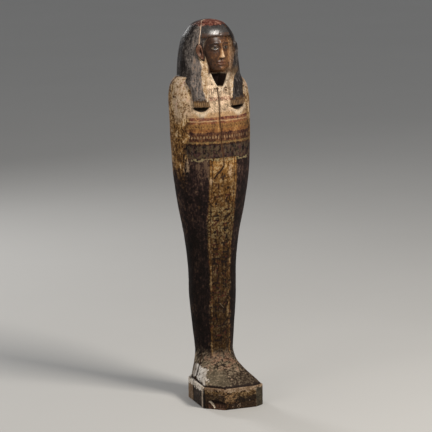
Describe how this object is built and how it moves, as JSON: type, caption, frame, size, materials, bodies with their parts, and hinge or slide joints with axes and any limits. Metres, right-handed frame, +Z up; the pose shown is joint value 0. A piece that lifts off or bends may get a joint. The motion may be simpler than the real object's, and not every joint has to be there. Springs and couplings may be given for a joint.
{
  "type": "mummiform statuette",
  "caption": "Carved and painted wooden figure in a plain shroud and long lappet wig, standing upright on a low pedestal with cut corners.",
  "frame": {"origin": "middle of the pedestal's underside", "axes": "+Z up along the standing figure, -Y the way it faces, +X to the figure's left"},
  "size_m": [0.1378, 0.1356, 0.621],
  "materials": {
    "painted_wood": "worn painted gesso on wood, dark brown to black with ochre bands"
  },
  "bodies": {
    "root": {"statuette": "painted_wood"}
  },
  "joints": []
}
